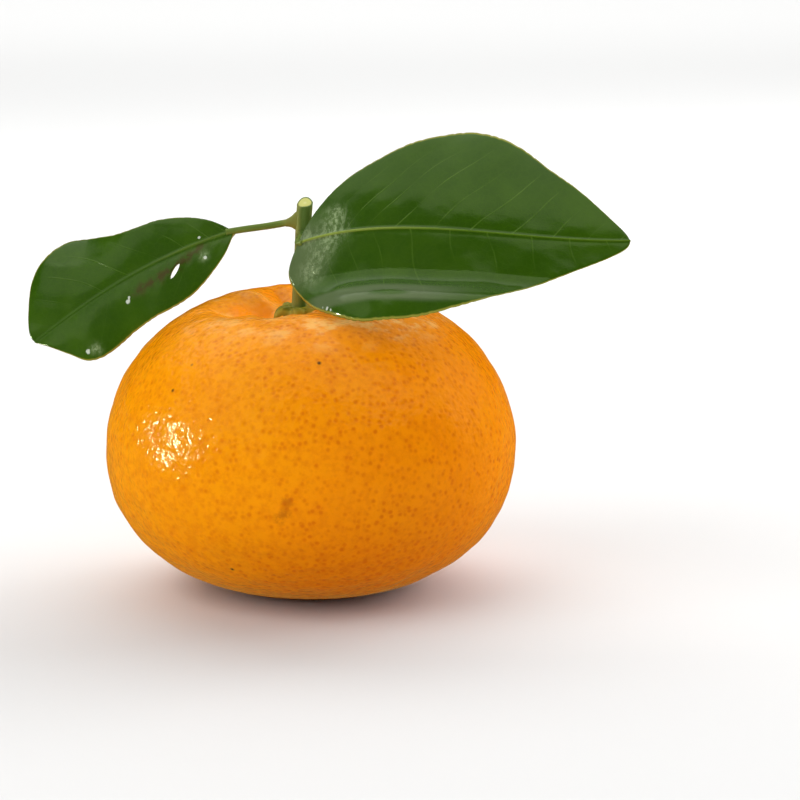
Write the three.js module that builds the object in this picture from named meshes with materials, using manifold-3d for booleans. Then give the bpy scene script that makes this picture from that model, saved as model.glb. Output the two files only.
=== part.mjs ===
// A mandarin orange as picked: the whole fruit with its calyx, a short stem and two leaves.
// Millimetres, +Z up. The front view looks along +Y, with +X to its right.
// The origin is the middle of the small flat spot that the fruit rests on.
import * as THREE from 'three';
import { mergeVertices } from 'three/addons/utils/BufferGeometryUtils.js';
import Module from 'manifold-3d';

const wasm = await Module();
wasm.setup();

// Fruit: an oblate body whose upper and lower halves are superellipses of revolution. Waves round
// the axis, each with a count, a share and a starting angle, make it slightly out of round and
// draw the furrows that run out from the calyx.
const FRUIT_RADIUS = 34.5;
const WAIST_HEIGHT = 24;
const CROWN_HEIGHT = 26.8;
const REST_RADIUS = 10;
const CROWN_POWERS = { outward: 2.55, upward: 1.95 };
const BASE_POWERS = { outward: 2.5, upward: 2.17 };
const DIMPLE = { depth: 4.7, radius: 8.5, shift: -2.4, reach: 24 };
const OUT_OF_ROUND = [
  { count: 2, share: 0.008, start: -0.6 },
  { count: 3, share: 0.006, start: 3 },
];
const FURROWS = { height: 0.7, middle: 9, spread: 6.5, fadeFrom: 1.5, fadeTo: 5 };
const FURROW_WAVES = [
  { count: 5, share: 0.35, start: 0.6 },
  { count: 9, share: 0.35, start: 1.9 },
  { count: 14, share: 0.25, start: 0 },
];
// Folds of the rind, each along a ray from the dimple: the ray's angle in degrees, where the fold
// begins, is full, fades and is gone, its height, below 0 for a gully, and its half width on
// either side of the ray, clockwise and anticlockwise seen from above
const FOLDS = [
  { angle: 189, begins: 2.5, full: 6, fades: 11.5, gone: 19, height: -2.9, clockwise: 2.8, anticlockwise: 8 },
  { angle: 262, begins: 3.5, full: 7, fades: 9, gone: 17, height: -1.2, clockwise: 8, anticlockwise: 8 },
  { angle: 122, begins: 3, full: 6, fades: 9, gone: 15, height: -0.6, clockwise: 1.6, anticlockwise: 2.5 },
  { angle: 112, begins: 6, full: 12, fades: 16, gone: 26, height: 0.45, clockwise: 9, anticlockwise: 7 },
  { angle: 306, begins: 3, full: 5, fades: 12, gone: 18, height: 0.5, clockwise: 1.3, anticlockwise: 1.3 },
];
const FRUIT_SIDES = 80;
const CROWN_RINGS = 22;
const BASE_RINGS = 14;

// Calyx: a five-pointed star pressed onto the bottom of the dimple
const CALYX = { tips: 4.5, bays: 2.7, lobes: 5, turn: 0.35, sharpness: 2.2, thickness: 1.3, rim: 0.6 };
const CALYX_UNEVEN = [
  { count: 2, share: 0.08, start: 1 },
  { count: 1, share: 0.05, start: 0 },
];
const CALYX_SIDES = 60;
const CALYX_RINGS = 5;

// Stem: a slightly ridged twig, cut off at a slant above the two leaves
const STEM_PATH = [[-2.2, 0, 48.1], [-1.75, 0, 54.5], [-1.35, 0, 60.5], [-1.0, 0, 65.2]];
const STEM_RADIUS = { foot: 1.15, top: 1.3 };
const STEM_RIDGES = { count: 3, height: 0.08, turn: 0.5 };
const CUT_SLANT = { x: 0.1, y: 0.55, from: 0.85 };
const STEM_SIDES = 24;
const STEM_RINGS = 16;

// Flares of the stem that the leaf stalks grow from: centre, half height and half width
const LEFT_FLARE = [
  { centre: [-1.4, 0, 61.9], high: 2.3, wide: 0.9 },
  { centre: [-2.5, 0, 62.1], high: 1.6, wide: 0.8 },
  { centre: [-3.3, 0, 62.0], high: 0.95, wide: 0.7 },
  { centre: [-4.2, 0, 61.8], high: 0.62, wide: 0.62 },
];
const RIGHT_FLARE = [
  { centre: [-1.5, 0, 59.5], high: 1.5, wide: 0.9 },
  { centre: [-1.7, -1.2, 59.6], high: 1.1, wide: 0.8 },
  { centre: [-1.8, -2.0, 59.5], high: 0.75, wide: 0.7 },
];

// Leaves. A blade is drawn flat, along its midrib and across it, and then bent: the midrib is a
// cubic curve, the blade faces the given directions at its base and tip, and its height above
// that frame folds, curls and waves.
const BLADE_THICKNESS = 0.8;
const KEEL = { height: 0.7, width: 0.9, taper: 0.7 };
const FOLD_ROUNDING = 0.6;
const SHELF = { from: 0.5, to: 0.86, lipFrom: 0.8, lipPower: 1.5 };
const SHELF_ENDS = { rise: 0.21, fall: 0.79, gone: 1.07 };
const BLADE_STEPS = 34;
const BLADE_COLUMNS = 7;
const COLUMN_CROWDING = 1.5;
const STALK_SIDES = 12;
const STALK_STEPS = 8;

const RIGHT_LEAF = {
  midrib: [[-2.1, -4.5, 58.9], [13.6, -11.3, 65.6], [33.9, -14.1, 60.3], [52, -15, 60.9]],
  facing: { base: facingUp(33, -0.1), tip: facingUp(36, 0.15) },
  upSide: 1,
  upper: [[0, 0], [4.6, 5.5], [9.5, 10.3], [15, 14], [20.3, 17.2], [26, 19.4], [31, 18.9], [36.5, 16.8],
    [42, 12.7], [48, 8.2], [54.2, 2.3], [55.8, 0]],
  lower: [[0, 0], [-2.1, -4.9], [-0.2, -9.7], [4, -13.7], [9.3, -16.6], [15, -18.5], [21.5, -18.1],
    [28, -16.6], [34, -14.2], [40.5, -9.9], [47, -6.1], [54.4, -2], [55.8, 0]],
  bend: { halfWidth: 17, fold: 0.1, curlUpper: 3, curlLower: 0, shelf: 3, lip: 4.5, wave: 0.35,
    pace: 0.42, start: 0.6 },
  stalk: [[-1.83, -2.35, 59.45], [-1.95, -3.3, 59.3], [-2, -4.3, 59.05], [-1.2, -5.1, 59.2]],
  stalkRadius: { foot: 0.68, head: 0.55 },
};

const LEFT_LEAF = {
  midrib: [[-12.8, 0, 60.4], [-25.6, 1.4, 56.4], [-36.8, 4.1, 49.1], [-47.2, 5, 40.6]],
  facing: { base: facingUp(38, 0.1), tip: facingUp(36, -0.25) },
  upSide: -1,
  upper: [[0, 0], [3.5, 3.2], [7.5, 5.6], [12, 7.2], [16, 7.7], [20, 8.8], [24, 11.1], [28, 13.3],
    [32, 12.7], [35.8, 10.4], [38.6, 6], [40.4, 2], [40.3, 0]],
  lower: [[0, 0], [2.2, -3.6], [5.8, -6.3], [10, -8.2], [14, -9], [18.5, -9], [23, -9.1], [27, -9.7],
    [30.5, -10], [33.4, -9], [36, -5.8], [38.2, -2.8], [40.3, 0]],
  bend: { halfWidth: 9.5, fold: 0.16, curlUpper: 1.6, curlLower: 2.4, shelf: 0, lip: 0, wave: 0.45,
    pace: 0.36, start: 2.2 },
  stalk: [[-4.52, 0, 61.75], [-7, 0, 61.3], [-10.5, 0, 60.8], [-14.2, 0.1, 60.2]],
  stalkRadius: { foot: 0.6, head: 0.55 },
};

// A slim tear right through the left blade: its middle, half length and half width, and its turn
const TEAR = { along: 11.7, across: -3.2, halfLength: 1.5, halfWidth: 0.5, turn: -0.72, sides: 12 };

// Gap between neighbours, and the distance within which corners are welded
const TOUCH_GAP = 0.35;
const WELD = 1e-4;

function facingUp(degrees, aside) {
  const angle = THREE.MathUtils.degToRad(degrees);
  return new THREE.Vector3(aside, -Math.cos(angle), Math.sin(angle));
}

// Helpers that build closed solids

function vector([x, y, z]) {
  return new THREE.Vector3(x, y, z);
}

function quad(a, b, c, d) {
  return [[a, b, c], [a, c, d]];
}

// Welds triangles into one solid. A triangle with two corners in one place drops out.
function solidOf(triangles) {
  const geometry = mergeVertices(new THREE.BufferGeometry().setFromPoints(triangles.flat()), WELD);
  const corners = geometry.index.array;
  const triVerts = [];
  for (let i = 0; i < corners.length; i += 3) {
    const [a, b, c] = corners.slice(i, i + 3);
    if (a !== b && b !== c && c !== a) {
      triVerts.push(a, b, c);
    }
  }
  return new wasm.Manifold(new wasm.Mesh({
    numProp: 3,
    vertProperties: geometry.attributes.position.array,
    triVerts: new Uint32Array(triVerts),
  }));
}

// A skin over rings of points, closed by a fan at each end. Rings run from foot to head, and
// each ring goes anticlockwise seen from the head.
function skinOf(foot, rings, head) {
  const triangles = [];
  const last = rings[rings.length - 1];
  last.forEach((corner, k) => {
    const next = (k + 1) % last.length;
    triangles.push([foot, rings[0][next], rings[0][k]], [head, corner, last[next]]);
    for (let i = 0; i + 1 < rings.length; i += 1) {
      triangles.push(...quad(rings[i][k], rings[i][next], rings[i + 1][next], rings[i + 1][k]));
    }
  });
  return triangles;
}

function meshOf(name, solid, look) {
  const { numProp, vertProperties, triVerts } = solid.getMesh();
  const geometry = new THREE.BufferGeometry();
  geometry.setAttribute('position', new THREE.BufferAttribute(vertProperties, numProp));
  geometry.setIndex(new THREE.BufferAttribute(triVerts, 1));
  const mesh = new THREE.Mesh(geometry, new THREE.MeshStandardMaterial(look));
  mesh.name = name;
  return mesh;
}

function angles(count) {
  return Array.from({ length: count }, (_, k) => (k / count) * 2 * Math.PI);
}

function ripple(waves, angle) {
  return waves.reduce((sum, { count, share, start }) => sum + share * Math.cos(count * angle + start), 0);
}

// Fruit

// Shallow furrows run out from the calyx, faded inwards and outwards
function furrow(reach, angle) {
  const ring = Math.exp(-(((reach - FURROWS.middle) / FURROWS.spread) ** 2));
  const fade = THREE.MathUtils.smoothstep(reach, FURROWS.fadeFrom, FURROWS.fadeTo);
  return FURROWS.height * ring * fade * ripple(FURROW_WAVES, angle);
}

// Height of the folds, each a ridge or gully with a rounded section that runs out along its ray
function foldHeight(reach, angle) {
  return FOLDS.reduce((sum, fold) => {
    const turn = angle - THREE.MathUtils.degToRad(fold.angle);
    const along = reach * Math.cos(turn);
    const across = reach * Math.sin(turn);
    const width = across < 0 ? fold.clockwise : fold.anticlockwise;
    const run = THREE.MathUtils.smoothstep(along, fold.begins, fold.full)
      * (1 - THREE.MathUtils.smoothstep(along, fold.fades, fold.gone));
    return sum + fold.height * run * Math.exp(-((across / width) ** 2));
  }, 0);
}

// A point of the upper half, at a distance outward from the axis. The dimple is off to one side.
function crownPoint(reach, angle, raise = 0) {
  const share = 1 - (reach / FRUIT_RADIUS) ** CROWN_POWERS.outward;
  const dome = CROWN_HEIGHT * Math.max(share, 0) ** (1 / CROWN_POWERS.upward);
  const dimple = DIMPLE.depth * Math.exp(-((reach / DIMPLE.radius) ** 2));
  const shift = DIMPLE.shift * (1 - THREE.MathUtils.smoothstep(reach, 0, DIMPLE.reach));
  const outward = reach * (1 + ripple(OUT_OF_ROUND, angle));
  return new THREE.Vector3(
    outward * Math.cos(angle) + shift,
    outward * Math.sin(angle),
    WAIST_HEIGHT + dome - dimple + furrow(reach, angle) + foldHeight(reach, angle) + raise,
  );
}

// A point of the lower half, whose superellipse is deep enough to be cut flat at the rest radius
function basePoint(reach, angle) {
  const { outward: power, upward } = BASE_POWERS;
  const share = (distance) => (1 - (distance / FRUIT_RADIUS) ** power) ** (1 / upward);
  const outward = reach * (1 + ripple(OUT_OF_ROUND, angle));
  const z = WAIST_HEIGHT * (1 - share(reach) / share(REST_RADIUS));
  return new THREE.Vector3(outward * Math.cos(angle), outward * Math.sin(angle), z);
}

function fruitSolid() {
  const rings = [];
  const restTurn = Math.asin((REST_RADIUS / FRUIT_RADIUS) ** (BASE_POWERS.outward / 2));
  for (let i = 0; i < BASE_RINGS; i += 1) {
    const turn = THREE.MathUtils.lerp(restTurn, Math.PI / 2, i / BASE_RINGS);
    const reach = FRUIT_RADIUS * Math.sin(turn) ** (2 / BASE_POWERS.outward);
    rings.push(angles(FRUIT_SIDES).map((angle) => basePoint(reach, angle)));
  }
  for (let i = CROWN_RINGS; i > 0; i -= 1) {
    const turn = (Math.PI / 2) * (i / CROWN_RINGS) ** 1.2;
    const reach = FRUIT_RADIUS * Math.sin(turn) ** (2 / CROWN_POWERS.outward);
    rings.push(angles(FRUIT_SIDES).map((angle) => crownPoint(reach, angle)));
  }
  rings[0].forEach((point) => point.setZ(0));
  return solidOf(skinOf(new THREE.Vector3(), rings, crownPoint(0, 0)));
}

// Calyx

// Lobes come to points: the outline swings between the bays and the tips with sharpened peaks
function calyxReach(angle) {
  const swing = Math.abs(Math.cos((CALYX.lobes / 2) * (angle + CALYX.turn))) ** CALYX.sharpness;
  return THREE.MathUtils.lerp(CALYX.bays, CALYX.tips, swing) * (1 + ripple(CALYX_UNEVEN, angle));
}

function calyxHeight(share) {
  return THREE.MathUtils.lerp(CALYX.thickness, CALYX.rim, share ** 2);
}

function calyxSolid() {
  const ring = (share, lift) => angles(CALYX_SIDES).map((angle) => (
    crownPoint(share * calyxReach(angle), angle, TOUCH_GAP + lift)
  ));
  const under = [];
  const over = [];
  for (let i = 1; i <= CALYX_RINGS; i += 1) {
    const share = i / CALYX_RINGS;
    under.push(ring(share, 0));
    over.unshift(ring(share, calyxHeight(share)));
  }
  const foot = crownPoint(0, 0, TOUCH_GAP);
  const head = crownPoint(0, 0, TOUCH_GAP + calyxHeight(0));
  return solidOf(skinOf(foot, [...under, ...over], head));
}

// Stem

function stemSolid() {
  const path = new THREE.CatmullRomCurve3(STEM_PATH.map(vector));
  const rings = [];
  for (let i = 0; i <= STEM_RINGS; i += 1) {
    const t = i / STEM_RINGS;
    const centre = path.getPoint(t);
    const radius = THREE.MathUtils.lerp(STEM_RADIUS.foot, STEM_RADIUS.top, t);
    const slant = THREE.MathUtils.smoothstep(t, CUT_SLANT.from, 1);
    rings.push(angles(STEM_SIDES).map((angle) => {
      const ridge = 1 + STEM_RIDGES.height * Math.cos(STEM_RIDGES.count * (angle + STEM_RIDGES.turn));
      const x = radius * ridge * Math.cos(angle);
      const y = radius * ridge * Math.sin(angle);
      return new THREE.Vector3(x, y, slant * (CUT_SLANT.x * x + CUT_SLANT.y * y)).add(centre);
    }));
  }
  const foot = path.getPoint(0);
  const head = path.getPoint(1);
  const twig = solidOf(skinOf(foot, rings, head));
  return twig.add(flareSolid(LEFT_FLARE)).add(flareSolid(RIGHT_FLARE));
}

// A flare's rings stand upright, across the horizontal direction that it grows in
function flareSolid(sections) {
  const start = vector(sections[0].centre);
  const end = vector(sections[sections.length - 1].centre);
  const across = new THREE.Vector3(0, 0, 1).cross(end.clone().sub(start)).normalize();
  const rings = sections.map(({ centre, high, wide }) => angles(STALK_SIDES).map((angle) => (
    vector(centre).addScaledVector(across, wide * Math.cos(angle)).setZ(centre[2] + high * Math.sin(angle))
  )));
  return solidOf(skinOf(start, rings, end));
}

// Leaves

// A smooth curve through the outline's points, with both ends kept
function outlinePoint(points, t) {
  const curve = new THREE.SplineCurve(points.map(([along, across]) => new THREE.Vector2(along, across)));
  return curve.getPoint(t);
}

// Height of the bent blade over its frame: a fold along the midrib, a curl of each half, a raised
// shelf with a turned-down lip along the lower half, and a wave that grows towards the edge
function bladeHeight(bend, length, along, across) {
  const upper = Math.max(across, 0) / bend.halfWidth;
  const lower = Math.max(-across, 0) / bend.halfWidth;
  const share = along / length;
  const middle = THREE.MathUtils.smoothstep(share, 0, SHELF_ENDS.rise)
    * (1 - THREE.MathUtils.smoothstep(share, SHELF_ENDS.fall, SHELF_ENDS.gone));
  const fold = bend.fold * (Math.hypot(across, FOLD_ROUNDING) - FOLD_ROUNDING);
  const curl = bend.curlUpper * upper ** 2 + bend.curlLower * lower ** 2;
  const shelf = bend.shelf * THREE.MathUtils.smoothstep(lower, SHELF.from, SHELF.to);
  const lip = bend.lip * Math.max(lower - SHELF.lipFrom, 0) ** SHELF.lipPower;
  const wave = bend.wave * Math.sin(along * bend.pace + bend.start) * (across / bend.halfWidth) ** 2;
  return fold - curl + (shelf - lip) * middle + wave;
}

// Gives the place on a leaf's middle surface for a flat place, and the direction that it faces
function bladeShape(leaf) {
  const midrib = new THREE.CubicBezierCurve3(...leaf.midrib.map(vector));
  const length = midrib.getLength();
  return (along, across) => {
    const t = THREE.MathUtils.clamp(along / length, 0, 1);
    const tangent = midrib.getTangent(t);
    const normal = leaf.facing.base.clone().normalize().lerp(leaf.facing.tip.clone().normalize(), t);
    normal.normalize().addScaledVector(tangent, -normal.dot(tangent)).normalize();
    const side = normal.clone().cross(tangent).multiplyScalar(leaf.upSide);
    const place = midrib.getPoint(t)
      .addScaledVector(tangent, along - t * length)
      .addScaledVector(side, across)
      .addScaledVector(normal, bladeHeight(leaf.bend, length, along, across));
    return { place, normal, length };
  };
}

// The blade as two like grids of points, the face and the back, with a keel under the midrib
function bladeSolid(leaf) {
  const shape = bladeShape(leaf);
  const { length } = shape(0, 0);
  const rows = [];
  for (let i = 0; i <= BLADE_STEPS; i += 1) {
    const t = i / BLADE_STEPS;
    const row = [];
    for (let j = -BLADE_COLUMNS; j <= BLADE_COLUMNS; j += 1) {
      const edge = outlinePoint(j < 0 ? leaf.lower : leaf.upper, t);
      const share = Math.abs(j / BLADE_COLUMNS) ** COLUMN_CROWDING;
      const along = length * THREE.MathUtils.lerp(t, edge.x / leaf.upper.at(-1)[0], share);
      const across = edge.y * share;
      const { place, normal } = shape(along, across);
      const keel = KEEL.height * (1 - KEEL.taper * t) * Math.exp(-((across / KEEL.width) ** 2));
      row.push({
        face: place.clone().addScaledVector(normal, BLADE_THICKNESS / 2),
        back: place.clone().addScaledVector(normal, -BLADE_THICKNESS / 2 - keel),
      });
    }
    rows.push(row);
  }
  const triangles = [];
  const last = 2 * BLADE_COLUMNS;
  for (let i = 0; i < BLADE_STEPS; i += 1) {
    const [row, next] = [rows[i], rows[i + 1]];
    for (let j = 0; j < last; j += 1) {
      triangles.push(...quad(row[j].face, next[j].face, next[j + 1].face, row[j + 1].face));
      triangles.push(...quad(row[j].back, next[j].back, next[j + 1].back, row[j + 1].back)
        .map(([a, b, c]) => [a, c, b]));
    }
    triangles.push(...quad(row[0].back, next[0].back, next[0].face, row[0].face));
    triangles.push(...quad(row[last].face, next[last].face, next[last].back, row[last].back));
  }
  return solidOf(leaf.upSide > 0 ? triangles : triangles.map(([a, b, c]) => [a, c, b]));
}

// The stalk is a round tube that starts just clear of the stem's flare and ends inside the blade
function stalkSolid(leaf) {
  const path = new THREE.CatmullRomCurve3(leaf.stalk.map(vector));
  const { tangents, normals, binormals } = path.computeFrenetFrames(STALK_STEPS);
  const rings = tangents.map((_, i) => {
    const centre = path.getPoint(i / STALK_STEPS);
    const radius = THREE.MathUtils.lerp(leaf.stalkRadius.foot, leaf.stalkRadius.head, i / STALK_STEPS);
    return angles(STALK_SIDES).map((angle) => (
      centre.clone()
        .addScaledVector(normals[i], radius * Math.cos(angle))
        .addScaledVector(binormals[i], radius * Math.sin(angle))
    ));
  });
  return solidOf(skinOf(path.getPoint(0), rings, path.getPoint(1)));
}

// A slim round prism through the blade, square to it
function tearSolid(leaf) {
  const { place, normal } = bladeShape(leaf)(TEAR.along, TEAR.across);
  const ring = (depth) => angles(TEAR.sides).map((angle) => {
    const x = TEAR.halfLength * Math.cos(angle);
    const y = TEAR.halfWidth * Math.sin(angle) * leaf.upSide;
    const along = TEAR.along + x * Math.cos(TEAR.turn) - y * Math.sin(TEAR.turn);
    const across = TEAR.across + x * Math.sin(TEAR.turn) + y * Math.cos(TEAR.turn);
    return bladeShape(leaf)(along, across).place.addScaledVector(normal, depth);
  });
  const depth = 2 * BLADE_THICKNESS;
  const foot = place.clone().addScaledVector(normal, -depth);
  const head = place.clone().addScaledVector(normal, depth);
  return solidOf(skinOf(foot, [ring(-depth), ring(depth)], head));
}

function leafSolid(leaf) {
  return bladeSolid(leaf).add(stalkSolid(leaf));
}

// The assembly

const RIND = { color: 0xf0980a, roughness: 0.3, metalness: 0 };
const CALYX_GREEN = { color: 0x7d7a2c, roughness: 0.7, metalness: 0 };
const TWIG_GREEN = { color: 0x476a2a, roughness: 0.6, metalness: 0 };
const LEAF_GREEN = { color: 0x35590f, roughness: 0.3, metalness: 0 };

const mandarin = new THREE.Group();
mandarin.add(
  meshOf('fruit', fruitSolid(), RIND),
  meshOf('calyx', calyxSolid(), CALYX_GREEN),
  meshOf('stem', stemSolid(), TWIG_GREEN),
  meshOf('leaf_left', leafSolid(LEFT_LEAF).subtract(tearSolid(LEFT_LEAF)), LEAF_GREEN),
  meshOf('leaf_right', leafSolid(RIGHT_LEAF), LEAF_GREEN),
);

export default mandarin;
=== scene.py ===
"""A mandarin orange as picked, in a small pale studio: rind, calyx, twig and two leaves.

Shapes are worked out in millimetres, in the part's own frame, and put into meshes in metres.
"""

import itertools
import math

import bpy
import numpy as np
from mathutils import Matrix, Vector


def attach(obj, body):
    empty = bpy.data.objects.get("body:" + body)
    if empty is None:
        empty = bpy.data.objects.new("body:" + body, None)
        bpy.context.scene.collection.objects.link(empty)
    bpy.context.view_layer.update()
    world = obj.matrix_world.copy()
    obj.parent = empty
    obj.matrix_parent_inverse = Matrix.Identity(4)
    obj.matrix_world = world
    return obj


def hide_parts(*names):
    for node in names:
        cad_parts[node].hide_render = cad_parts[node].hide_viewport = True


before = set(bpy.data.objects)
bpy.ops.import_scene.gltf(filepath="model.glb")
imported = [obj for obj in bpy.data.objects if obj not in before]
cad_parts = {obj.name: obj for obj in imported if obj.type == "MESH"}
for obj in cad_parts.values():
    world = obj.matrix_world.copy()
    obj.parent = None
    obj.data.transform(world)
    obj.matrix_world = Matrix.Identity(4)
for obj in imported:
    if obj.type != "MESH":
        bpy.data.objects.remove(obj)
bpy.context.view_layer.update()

MM = 0.001

# Fruit, with the part's own sizes: two half superellipses, a dimple, and furrows round it.
# Waves round the axis are given as count, share and starting angle.
FRUIT_RADIUS = 34.5
WAIST_HEIGHT = 24
CROWN_HEIGHT = 26.8
REST_RADIUS = 10
CROWN_POWERS = (2.55, 1.95)
BASE_POWERS = (2.5, 2.17)
DIMPLE = {"depth": 4.7, "radius": 8.5, "shift": -2.4, "reach": 24}
OUT_OF_ROUND = ((2, 0.008, -0.6), (3, 0.006, 3))
FURROWS = {"height": 0.7, "middle": 9, "spread": 6.5, "fade_from": 1.5, "fade_to": 5}
FURROW_WAVES = ((5, 0.35, 0.6), (9, 0.35, 1.9), (14, 0.25, 0))

# Folds of the rind, each along a ray from the dimple: its angle in degrees, where it begins, is
# full, fades and is gone, its height, and its half widths clockwise and anticlockwise of the ray
FOLDS = (
    (189, (2.5, 6, 11.5, 19), -2.9, (2.8, 8)),
    (262, (3.5, 7, 9, 17), -1.2, (8, 8)),
    (122, (3, 6, 9, 15), -0.6, (1.6, 2.5)),
    (112, (6, 12, 16, 26), 0.45, (9, 7)),
    (306, (3, 5, 12, 18), 0.5, (1.3, 1.3)),
)

# Fruit, finer than the part: creases near the calyx, lumps by wavelength and height, and the
# scar below. The lumps only press inwards, so the rind stays inside the part's own.
CREASES = {"height": 0.16, "middle": 8, "spread": 5}
CREASE_WAVES = ((19, 0.5, 1.1), (26, 0.45, 0.2), (37, 0.35, 2.6))
REST_SOFTENING = 0.12
LUMPS = ((8.0, 0.06), (3.2, 0.022))
LUMP_SEED = 5
LUMP_SINK = 0.15
LUMP_CEILING = -0.03
LUMPS_SET_IN = (0.2, 4)
SCAR = {"depth": 0.5, "radius": 1.7, "points": 5, "raggedness": 0.25}
BALL_CELLS = 127

# Places on the rind: dark specks, darker brown patches, and hollows of the dimple where a glow is painted,
# with their reach
SPECKS = ((-18.8, -20, 41.7), (-21.8, -21.4, 37.7), (2, -25.8, 43), (-12.2, -26.4, 9.2))
DARK_PATCHES = ((-3.3, -33.8, 20.3), (-4.3, -33.6, 19.3), (-2.9, -33.7, 22.2))
HOLLOWS = (((-11.6, 0.2, 46.7), 3.2), ((-8.3, 1.7, 46.5), 3), ((-7.1, 7, 48.5), 2.6))

# Calyx: five points pressed onto the bottom of the dimple, with veins and a grain on its face
CALYX = {
    "tips": 4.5, "bays": 2.7, "lobes": 5, "turn": 0.35, "sharpness": 2.2,
    "thickness": 1.3, "rim": 0.6, "rounding": 14,
}
CALYX_UNEVEN = ((2, 0.08, 1), (1, 0.05, 0))
CALYX_SUNK = -0.3
CALYX_GAP = 0.35
CALYX_VEINS = {"height": 0.07, "per_lobe": 3}
CALYX_GRAIN = {"height": 0.05, "count": 31, "twist": 4}

# Stem: a ridged twig with a slanted cut, and the flares that the leaf stalks grow from, each a
# list of centre, half height and half width. The cut's rings are a share of its size and a rise.
STEM_PATH = ((-2.2, 0, 47.2), (-1.75, 0, 54.5), (-1.35, 0, 60.5), (-1.0, 0, 65.2))
STEM_RADIUS = (1.15, 1.3)
STEM_RIDGES = {"count": 3, "height": 0.08, "turn": 0.5}
BARK_COARSE = {"count": 17, "height": 0.012, "swing": 3, "pace": 9}
BARK_FINE = {"count": 29, "height": 0.008, "twist": -5}
CUT_SLANT = {"x": 0.1, "y": 0.55, "from": 0.85}
CUT_RINGS = ((0.97, 0.05), (0.9, 0.02), (0.8, 0.03), (0.66, 0.05), (0.5, 0.06), (0.33, 0.04), (0.16, 0))
BARK = 2
LEFT_FLARE = (
    ((-1.4, 0, 61.9), 2.3, 0.9),
    ((-2.5, 0, 62.1), 1.6, 0.8),
    ((-3.3, 0, 62.0), 0.95, 0.7),
    ((-4.2, 0, 61.8), 0.62, 0.62),
)
RIGHT_FLARE = (
    ((-1.5, 0, 59.5), 1.5, 0.9),
    ((-1.7, -1.2, 59.6), 1.1, 0.8),
    ((-1.8, -2.0, 59.5), 0.75, 0.7),
)

# Blade of a leaf: its thickness, the shelf of its lower half, the pillows between its veins,
# lumps by wavelength and height, and the midrib, which narrows and sinks towards the tip
BLADE_THICKNESS = 0.4
BLADE_ROUNDING = 24
SHELF = {"from": 0.5, "to": 0.86, "lip_from": 0.8, "lip_power": 1.5}
SHELF_ENDS = (0.21, 0.79, 1.07)
FOLD_ROUNDING = 0.6
PILLOW_HEIGHT = 0.045
BLADE_LUMPS = ((7, 0.03), (2.4, 0.004))
MIDRIB = {"height": 0.17, "groove": 0.12, "sinks": 0.5, "width": 0.36, "narrows": 0.62, "least": 0.07}
KEEL = {"height": 0.65, "sinks": 0.7, "width": 1.8}
NOTCHES = {"depth": 0.006, "pace": 3.1, "unevenness": 2}
VEIN_SPACING = 5
VEINS_BEYOND = 12
VEIN_WANDER = {"size": 0.3, "outwards": 0.55, "onwards": 0.35}

# Painted sheen of the leaf with a shelf: a band along the shelf with a slim lens left out, and a
# patch at the base
SHEEN_BAND = {
    "strength": 0.65, "outer": (-15.4, -14.4), "inner": (-11.8, -10.8), "starts": (0, 5), "ends": (22, 36),
}
SHEEN_LENS = {"along": 18.9, "across": -13.4, "half_length": 3.6, "half_width": 0.55, "edge": (0.7, 1.2)}
SHEEN_BASE = {"strength": 0.5, "reach": (2, 9), "squeeze": 0.8, "off": 2}
LEAN_REACH = 0.45

# Leaves, with the part's outlines and bends. Veins are given by where they leave the midrib,
# above it (1) and below it (-1), and by how they lean and bow. Glint spots, painted with a hazy
# sheen and roughened, and water drop highlights, painted as pale flecks, are places on the
# flat blade, each with a radius. The lean slope is for the shading alone.
RIGHT_LEAF = {
    "midrib": ((-2.1, -4.5, 58.9), (13.6, -11.3, 65.6), (33.9, -14.1, 60.3), (52, -15, 60.9)),
    "facing": ((33, -0.1), (36, 0.15)),
    "up_side": 1,
    "upper": ((0, 0), (4.6, 5.5), (9.5, 10.3), (15, 14), (20.3, 17.2), (26, 19.4), (31, 18.9), (36.5, 16.8),
              (42, 12.7), (48, 8.2), (54.2, 2.3), (55.8, 0)),
    "lower": ((0, 0), (-2.1, -4.9), (-0.2, -9.7), (4, -13.7), (9.3, -16.6), (15, -18.5), (21.5, -18.1),
              (28, -16.6), (34, -14.2), (40.5, -9.9), (47, -6.1), (54.4, -2), (55.8, 0)),
    "half_width": 17, "fold": 0.1, "curl": (3, 0), "shelf": 3, "lip": 4.5,
    "wave": (0.35, 0.42, 0.6),
    "stalk": ((-1.8, -1.6, 59.5), (-1.95, -3.3, 59.3), (-2, -4.3, 59.05), (-1.2, -5.1, 59.2)),
    "stalk_radius": (0.68, 0.5),
    "veins": {1: (1, 5.1, 9, 12.8, 17.5, 23.8, 30.2, 36.5, 43, 49),
              -1: (1, 5, 9.5, 14.2, 20, 26.8, 33, 39.5, 46, 52)},
    "lean": {1: 0.84, -1: 0.24},
    "bow": {1: 0.004, -1: 0.008},
    "glint_spots": ((7, 0.8, 2.2), (7.4, 3.4, 1.4), (4.8, -2.4, 2.2), (2.6, -6, 2.2), (2, 0.5, 1.6)),
    "drop_glints": ((7.4, -14.8, 0.4), (8.3, -15.3, 0.3), (6.3, -14.2, 0.25)),
    "lean_slope": 0.18,
    "rib_relief": 1,
    "seed": 11,
}
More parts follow.
